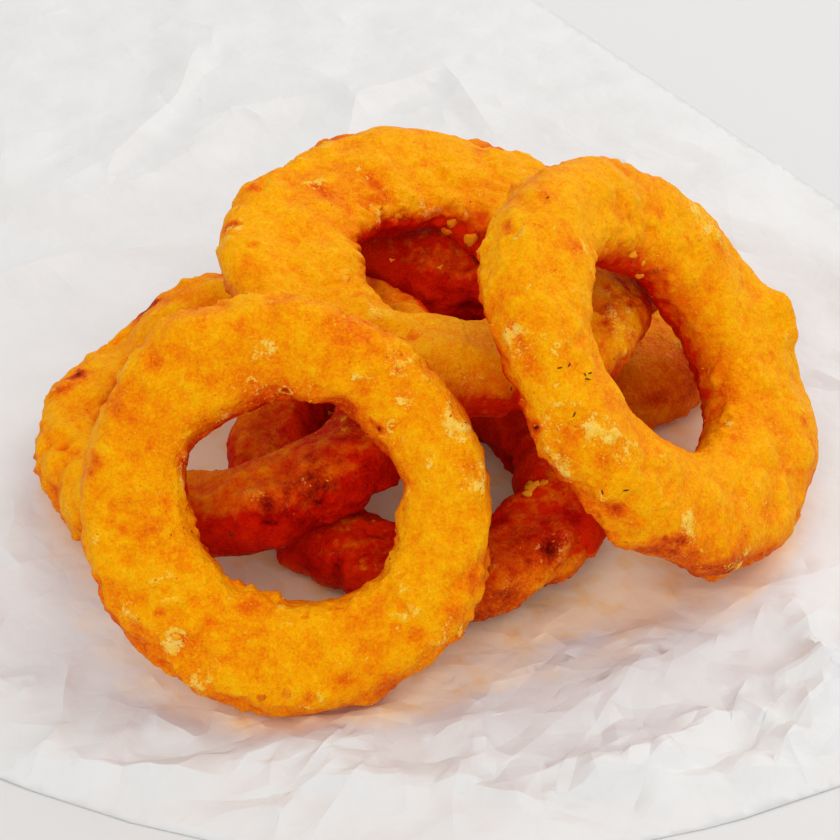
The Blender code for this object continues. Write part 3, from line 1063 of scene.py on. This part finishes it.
def batter_finish():
    """Fried batter: golden, browner with browning and painted shade, a red painted shade where the
    heap encloses it, paler on rims.
    """
    finish = Finish("fried_batter", 0.50, 0.03)
    finish.shader.inputs["Specular Tint"].default_value = (1.0, 0.60, 0.12, 1.0)
    wander = finish.wander

    def total(first, *others):
        for other in others:
            first = finish.maths("ADD", first, other)
        return first

    # Browning and painted shade, made uneven by noise.
    varied_toast_and_shade = finish.maths("MULTIPLY", finish.attribute("toast_and_shade"),
                           total(wander(1400.0, 3.0, 0.7), 1.0))
    toast_and_shade = total(varied_toast_and_shade, wander(2900.0, 2.0, 0.34), wander(1300.0, 2.0, 0.36),
                  wander(420.0, 4.0, 0.34), 0.14)
    crust = finish.ramp(toast_and_shade, [
        (0.00, (1.0, 0.520, 0.006)), (0.14, (1.0, 0.410, 0.002)), (0.26, (0.97, 0.300, 0.002)),
        (0.42, (0.90, 0.172, 0.003)), (0.60, (0.68, 0.074, 0.003)), (0.80, (0.40, 0.024, 0.003)),
        (1.00, (0.130, 0.008, 0.003))])
    pale = total(finish.attribute("pale"), wander(1900.0, 3.0, 1.5))
    pale_crust = finish.ramp(finish.noise(600.0, 2.0),
                             [(0.3, (1.0, 0.54, 0.02)), (0.7, (1.0, 0.72, 0.15))])
    share = finish.ramp(pale, [(0.42, (0.0, 0.0, 0.0)), (0.66, (0.85, 0.85, 0.85))])
    crust = finish.mix(share, crust, pale_crust)
    # Painted shade: a dark red is multiplied in where the heap encloses the crust.
    enclosed = finish.maths("MULTIPLY", finish.attribute("shelter"),
                            total(wander(380.0, 4.0, 1.5), 1.0))
    share = finish.ramp(enclosed, [(0.12, (0.0, 0.0, 0.0)), (0.66, (1.0, 1.0, 1.0))])
    crust = finish.mix(share, crust, (0.76, 0.065, 0.35, 1.0), "MULTIPLY")
    shade = total(wander(2400.0, 2.0, 0.55), wander(800.0, 3.0, 0.40), 0.5)
    dimming = finish.ramp(shade, [(0.0, (0.80, 0.80, 0.80)), (0.8, (1.0, 1.0, 1.0))])
    crust = finish.mix(1.0, crust, dimming, "MULTIPLY")
    coarse = finish.bump(finish.noise(900.0, 2.0), 0.8, 0.0006)
    return finish.finished(crust, finish.bump(finish.noise(2600.0, 1.0), 0.8, 0.00022, coarse))


batter = batter_finish()
crusts = {node: Crust(node, look.steps) for node, look in LOOKS.items()}
skins = {node: (crust.smooth, BVHTree.FromPolygons(crust.smooth.tolist(),
                                                   grid_faces(*crust.steps).tolist()))
         for node, crust in crusts.items()}
sheet_points = mesh_points(paper_mesh)
sheet_faces = [face.vertices[:] for face in paper_mesh.polygons]
sheet = (sheet_points, BVHTree.FromPolygons(sheet_points.tolist(), sheet_faces))

for seed, (node, look) in enumerate(LOOKS.items()):
    crust = crusts[node]
    lump_crust(crust, look.swells, look.rugged, 100 * seed + 7)
    edge_crust(crust, 100 * seed + 17)
    rough_crust(crust, look.roughs, 100 * seed + 27)
    arc_crust(crust, look.arcs, 100 * seed + 37)
    toast_crust(crust, look, 100 * seed + 47)
    for neighbour in [skins[other] for other in crusts if other != node] + [sheet]:
        keep_apart(crust, neighbour)
    shelter_crust(crust, look.painted_shade)
    ring_mesh = crust_mesh(node, crust)
    ring_mesh.materials.append(batter)
    ring = add_piece(node + "_crust", ring_mesh)
    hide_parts(node)
    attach(ring, "root")


# ---- Grains, crumbs, flakes and herbs on the crust ----
# Dry grains and crumbs of batter are fried onto the crust, thin flakes lift off it, and
# the seasoning left dark herb flecks. Each kind is one shape strewn many times.

GRAIN_SIZE = 0.00052
CRUMB_SIZE = 0.00125
FLAKE_SIZE = 0.0013
HERB_SIZE = 0.0013
CRUMB_LIFT = -0.00025          # how far a crumb's middle stands off the crust: it is sunk in
FREE_ROOM = 0.0016             # nothing is strewn where a neighbour is closer than this


class Bit(NamedTuple):
    """One bit: where it sits, the way it faces, its turn, its scale and its tone."""

    place: tuple
    facing: tuple
    turn: float
    scale: tuple
    tone: float


class Sown(NamedTuple):
    """A bit at a given place on a ring: headings and turn in degrees."""

    around: float
    section: float
    turn: float
    scale: tuple
    tone: float


SOWN_CRUMBS = {
    "ring_front": [
        Sown(37, 123, 0, (2.0, 1.2, 0.64), 0.75), Sown(29, 121, 80, (1.5, 1.0, 0.64), 0.55),
        Sown(-130, 61, 30, (1.6, 1.2, 0.8), 0.65), Sown(-138, 52, 10, (1.3, 1.0, 0.64), 0.65),
        Sown(-145, 39, 60, (1.7, 1.1, 0.72), 0.65), Sown(-91, 46, 15, (2.6, 1.6, 0.88), 0.35),
        Sown(-83, 42, 75, (2.0, 1.3, 0.8), 0.35), Sown(-98, 38, 40, (1.8, 1.3, 0.8), 0.25),
        Sown(158, 113, 30, (1.9, 0.8, 0.48), 0.75), Sown(43, 45, 10, (2.0, 1.4, 0.56), 0.65),
        Sown(52, 51, 60, (2.4, 1.5, 0.56), 0.65), Sown(-38, -8, 20, (2.2, 1.6, 0.96), 0.10)],
    "ring_right": [
        Sown(-56, 79, 0, (1.6, 1.2, 0.64), 0.80), Sown(111, 163, 20, (2.0, 1.3, 0.88), 0.55),
        Sown(101, 168, 70, (1.7, 1.2, 0.8), 0.45), Sown(93, -174, 50, (2.0, 1.3, 0.88), 0.55),
        Sown(-152, 168, 10, (2.6, 1.3, 0.56), 0.75)],
    "ring_top": [
        Sown(-135, 79, 20, (1.5, 1.2, 0.72), 0.80), Sown(143, 157, 40, (3.0, 1.9, 0.8), 0.45),
        Sown(135, 162, 80, (2.0, 1.5, 0.88), 0.45), Sown(128, 170, 10, (2.3, 1.4, 0.88), 0.35),
        Sown(83, 180, 60, (2.8, 1.9, 0.9), 0.40), Sown(85, -167, 10, (2.8, 2.0, 0.9), 0.30),
        Sown(68, -176, 50, (3.2, 2.2, 0.9), 0.36), Sown(56, -164, 20, (2.2, 1.6, 0.96), 0.30),
        Sown(153, 73, 70, (2.0, 1.5, 0.48), 0.80), Sown(-147, 146, 25, (2.8, 1.6, 0.88), 0.65),
        Sown(-142, 142, 65, (2.2, 1.6, 0.88), 0.65)],
    "ring_bottom": [
        Sown(-35, 124, 30, (3.2, 2.6, 1.6), 0.50), Sown(-38, 124, 80, (2.6, 2.0, 1.44), 0.60),
        Sown(-31, 115, 10, (2.2, 1.9, 1.28), 0.35), Sown(136, 176, 20, (2.0, 1.5, 0.96), 0.35),
        Sown(132, 178, 60, (1.8, 1.4, 0.88), 0.25)],
    "ring_left": [
        Sown(-37, 108, 10, (1.9, 1.4, 0.8), 0.35), Sown(-42, 82, 50, (1.7, 1.3, 0.8), 0.35)],
    "ring_middle": [
        Sown(-116, 38, 20, (2.0, 1.2, 0.64), 0.65), Sown(-96, 47, 70, (1.5, 1.2, 0.64), 0.45)],
}

SOWN_HERBS = {
    "ring_right": [
        Sown(-152, 44, 20, (1.0, 0.28, 0.4), 0.5), Sown(-152, 58, 75, (0.8, 0.24, 0.4), 0.2),
        Sown(-148, 81, 40, (0.9, 0.28, 0.4), 0.6), Sown(-146, 73, 10, (1.2, 0.24, 0.4), 0.3),
        Sown(-148, 73, 130, (0.7, 0.28, 0.4), 0.8), Sown(-139, 33, 60, (1.0, 0.24, 0.4), 0.5),
        Sown(-114, 28, 15, (1.1, 0.28, 0.4), 0.4), Sown(-117, 11, 100, (1.0, 0.28, 0.4), 0.7),
        Sown(155, 43, 45, (0.7, 0.24, 0.4), 0.2), Sown(-140, -15, 20, (1.1, 0.39, 0.4), 0.1)],
    "ring_front": [
        Sown(40, 141, 60, (0.8, 0.24, 0.4), 0.1)],
    "ring_left": [
        Sown(156, 70, 10, (1.0, 0.32, 0.4), 0.1)],
}


def bit_on(crust, k, turn, scale, tone):
    return Bit(tuple(crust.points[k]), tuple(crust.facing[k]), turn, scale, tone)


def sown_bits(sown):
    return [bit_on(crusts[node], crusts[node].place(one.around, one.section),
                   math.radians(one.turn), one.scale, one.tone)
            for node, ones in sown.items() for one in ones]


def strewn_bits(share, roughest, squash, seed):
    """Bits at random on every ring, thickest where the crust is rough."""
    dice = random.Random(seed)
    bits = []
    for node, crust in crusts.items():
        patchy = noise_at(crust.smooth, 0.012, seed)
        patchy += 0.5 * noise_at(crust.smooth, 0.005, seed + 1)
        chance = np.clip(0.35 + 0.8 * patchy, 0.03, 1) + roughest * np.clip(crust.pale, 0, 1)
        chance[crust.room < FREE_ROOM] = 0
        chance = np.cumsum(chance)
        for _ in range(round(share * LOOKS[node].grains)):
            k = int(np.searchsorted(chance, dice.random() * chance[-1]))
            size = dice.uniform(0.55, 1.0) * dice.uniform(0.7, 1.35)
            stretch = dice.uniform(1.0, 1.7)
            tone = dice.uniform(0.2, 0.85) - 0.5 * LOOKS[node].brown
            # Painted shade: crumbs are darker where the heap encloses the crust.
            tone -= 0.6 * float(crust.shelter[k])
            bits.append(bit_on(crust, k, dice.uniform(0, math.tau),
                               (size * stretch, size, size * squash), max(tone, 0.0)))
    return bits


def crumb_shape(name, rounds, seed):
    """A lumpy crumb about one unit across."""
    dice = random.Random(seed)
    shape = bmesh.new()
    bmesh.ops.create_icosphere(shape, subdivisions=rounds, radius=0.5)
    for vert in shape.verts:
        vert.co *= dice.uniform(0.60, 1.30)
    mesh = mesh_from(shape, name)
    mesh.shade_smooth()
    return bpy.data.objects.new(name, mesh)


def flake_shape(name):
    """A thin curled flake, about one unit long, closed all round."""
    shape = bmesh.new()
    corners = 10
    rows = []
    for height in (-0.02, 0.02):
        row = []
        for k in range(corners):
            turn = math.tau * k / corners
            reach = 0.5 * (1 + 0.28 * math.sin(3 * turn + 1) + 0.12 * math.cos(5 * turn))
            x = reach * math.cos(turn)
            y = reach * math.sin(turn) * 0.7
            row.append(shape.verts.new((x, y, height + 0.55 * x * x + 0.2 * y)))
        rows.append(row)
    for side, row in zip((-1, 1), rows):
        middle = shape.verts.new((0, 0, 0.02 * side))
        for here, there in zip(row, row[1:] + row[:1]):
            shape.faces.new((middle, here, there)[::side])
    for k in range(corners):
        shape.faces.new((rows[0][k - 1], rows[0][k], rows[1][k], rows[1][k - 1]))
    return bpy.data.objects.new(name, mesh_from(shape, name))


def strewing_tree(name):
    """A node tree that puts a shape on every point, faced, turned and scaled by its values."""
    tree = bpy.data.node_groups.new(name, "GeometryNodeTree")
    for label, kind in (("Geometry", "Geometry"), ("Shape", "Object"), ("Size", "Float"),
                        ("Lift", "Float"), ("Finish", "Material")):
        tree.interface.new_socket(label, in_out="INPUT", socket_type="NodeSocket" + kind)
    tree.interface.new_socket("Geometry", in_out="OUTPUT", socket_type="NodeSocketGeometry")
    given = tree.nodes.new("NodeGroupInput").outputs

    def put(kind, feeds, output, **settings):
        return put_node(tree, kind, feeds, **settings).outputs[output]

    def value_of(label, kind):
        return put("GeometryNodeInputNamedAttribute", {"Name": label}, "Attribute",
                   data_type=kind)

    def scaled(vector, share):
        return put("ShaderNodeVectorMath", {0: vector, "Scale": share}, "Vector",
                   operation="SCALE")

    facing = value_of("facing", "FLOAT_VECTOR")
    face = put("FunctionNodeAlignRotationToVector", {"Vector": facing}, "Rotation", axis="Z")
    spin = put("FunctionNodeAxisAngleToRotation",
               {"Axis": (0.0, 0.0, 1.0), "Angle": value_of("turn", "FLOAT")}, "Rotation")
    both = put("FunctionNodeRotateRotation", {"Rotation": face, "Rotate By": spin}, "Rotation",
               rotation_space="LOCAL")
    lifted = put("GeometryNodeSetPosition", {"Geometry": given["Geometry"],
                                             "Offset": scaled(facing, given["Lift"])}, "Geometry")
    shape = put("GeometryNodeObjectInfo", {"Object": given["Shape"]}, "Geometry")
    size = scaled(value_of("stretch", "FLOAT_VECTOR"), given["Size"])
    placed = put("GeometryNodeInstanceOnPoints", {"Points": lifted, "Instance": shape,
                                                  "Rotation": both, "Scale": size}, "Instances")
    real = put("GeometryNodeRealizeInstances", {"Geometry": placed}, "Geometry")
    finished = put("GeometryNodeSetMaterial",
                   {"Geometry": real, "Material": given["Finish"]}, "Geometry")
    put_node(tree, "NodeGroupOutput", {"Geometry": finished})
    return tree


def strew(name, bits, shape, size, lift, finish):
    """One piece made of a shape at every bit's place."""
    mesh = bpy.data.meshes.new(name + "_places")
    mesh.from_pydata([bit.place for bit in bits], [], [])
    for label, kind, key, values in (
            ("facing", "FLOAT_VECTOR", "vector", [c for bit in bits for c in bit.facing]),
            ("stretch", "FLOAT_VECTOR", "vector", [c for bit in bits for c in bit.scale]),
            ("turn", "FLOAT", "value", [bit.turn for bit in bits]),
            ("tone", "FLOAT", "value", [bit.tone for bit in bits])):
        layer = mesh.attributes.new(label, kind, "POINT")
        layer.data.foreach_set(key, values)
    host = add_piece(name + "_places", mesh)
    bpy.context.scene.collection.objects.link(shape)
    sower = host.modifiers.new("strew", "NODES")
    sower.node_group = strewing
    sockets = {item.name: item.identifier for item in strewing.interface.items_tree
               if item.in_out == "INPUT"}
    sower[sockets["Shape"]] = shape
    sower[sockets["Size"]] = size
    sower[sockets["Lift"]] = lift
    sower[sockets["Finish"]] = finish
    seen = host.evaluated_get(bpy.context.evaluated_depsgraph_get())
    made = bpy.data.meshes.new_from_object(seen)
    made.name = name
    bpy.data.objects.remove(host)
    bpy.data.objects.remove(shape)
    piece = add_piece(name, made)
    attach(piece, "root")
    return piece


def dry_batter_finish(name, stops):
    """Dry batter, from brown to pale by each bit's tone, with a fine grain."""
    finish = Finish(name, 0.55, 0.03)
    tone = finish.maths("ADD", finish.wander(1500.0, 2.0, 0.5), finish.attribute("tone"))
    grain = finish.bump(finish.noise(1500.0, 2.0), 0.6, 0.0001)
    return finish.finished(finish.ramp(tone, stops), grain)


strewing = strewing_tree("strewing")
dry_batter = dry_batter_finish("dry_batter", [
    (0.00, (0.16, 0.012, 0.003)), (0.16, (0.66, 0.11, 0.004)), (0.36, (0.90, 0.29, 0.005)),
    (0.70, (0.95, 0.42, 0.016)), (1.00, (0.98, 0.60, 0.12))])
dried_herb = dry_batter_finish("dried_herb", [
    (0.1, (0.040, 0.012, 0.004)), (0.5, (0.095, 0.028, 0.005)), (0.9, (0.20, 0.070, 0.008))])

grains = strew("batter_grains", strewn_bits(1.0, 1.5, 0.55, 61),
               crumb_shape("grain", 1, 71), GRAIN_SIZE, 0.0, dry_batter)
crumbs = strew("batter_crumbs", strewn_bits(0.035, 4.0, 0.5, 62) + sown_bits(SOWN_CRUMBS),
               crumb_shape("crumb", 2, 72), CRUMB_SIZE, CRUMB_LIFT, dry_batter)
flakes = strew("batter_flakes", strewn_bits(0.020, 3.0, 0.8, 63),
               flake_shape("flake"), FLAKE_SIZE, 0.0, dry_batter)
strew("herb_flecks", sown_bits(SOWN_HERBS), crumb_shape("herb", 1, 74),
      HERB_SIZE, 0.0, dried_herb)
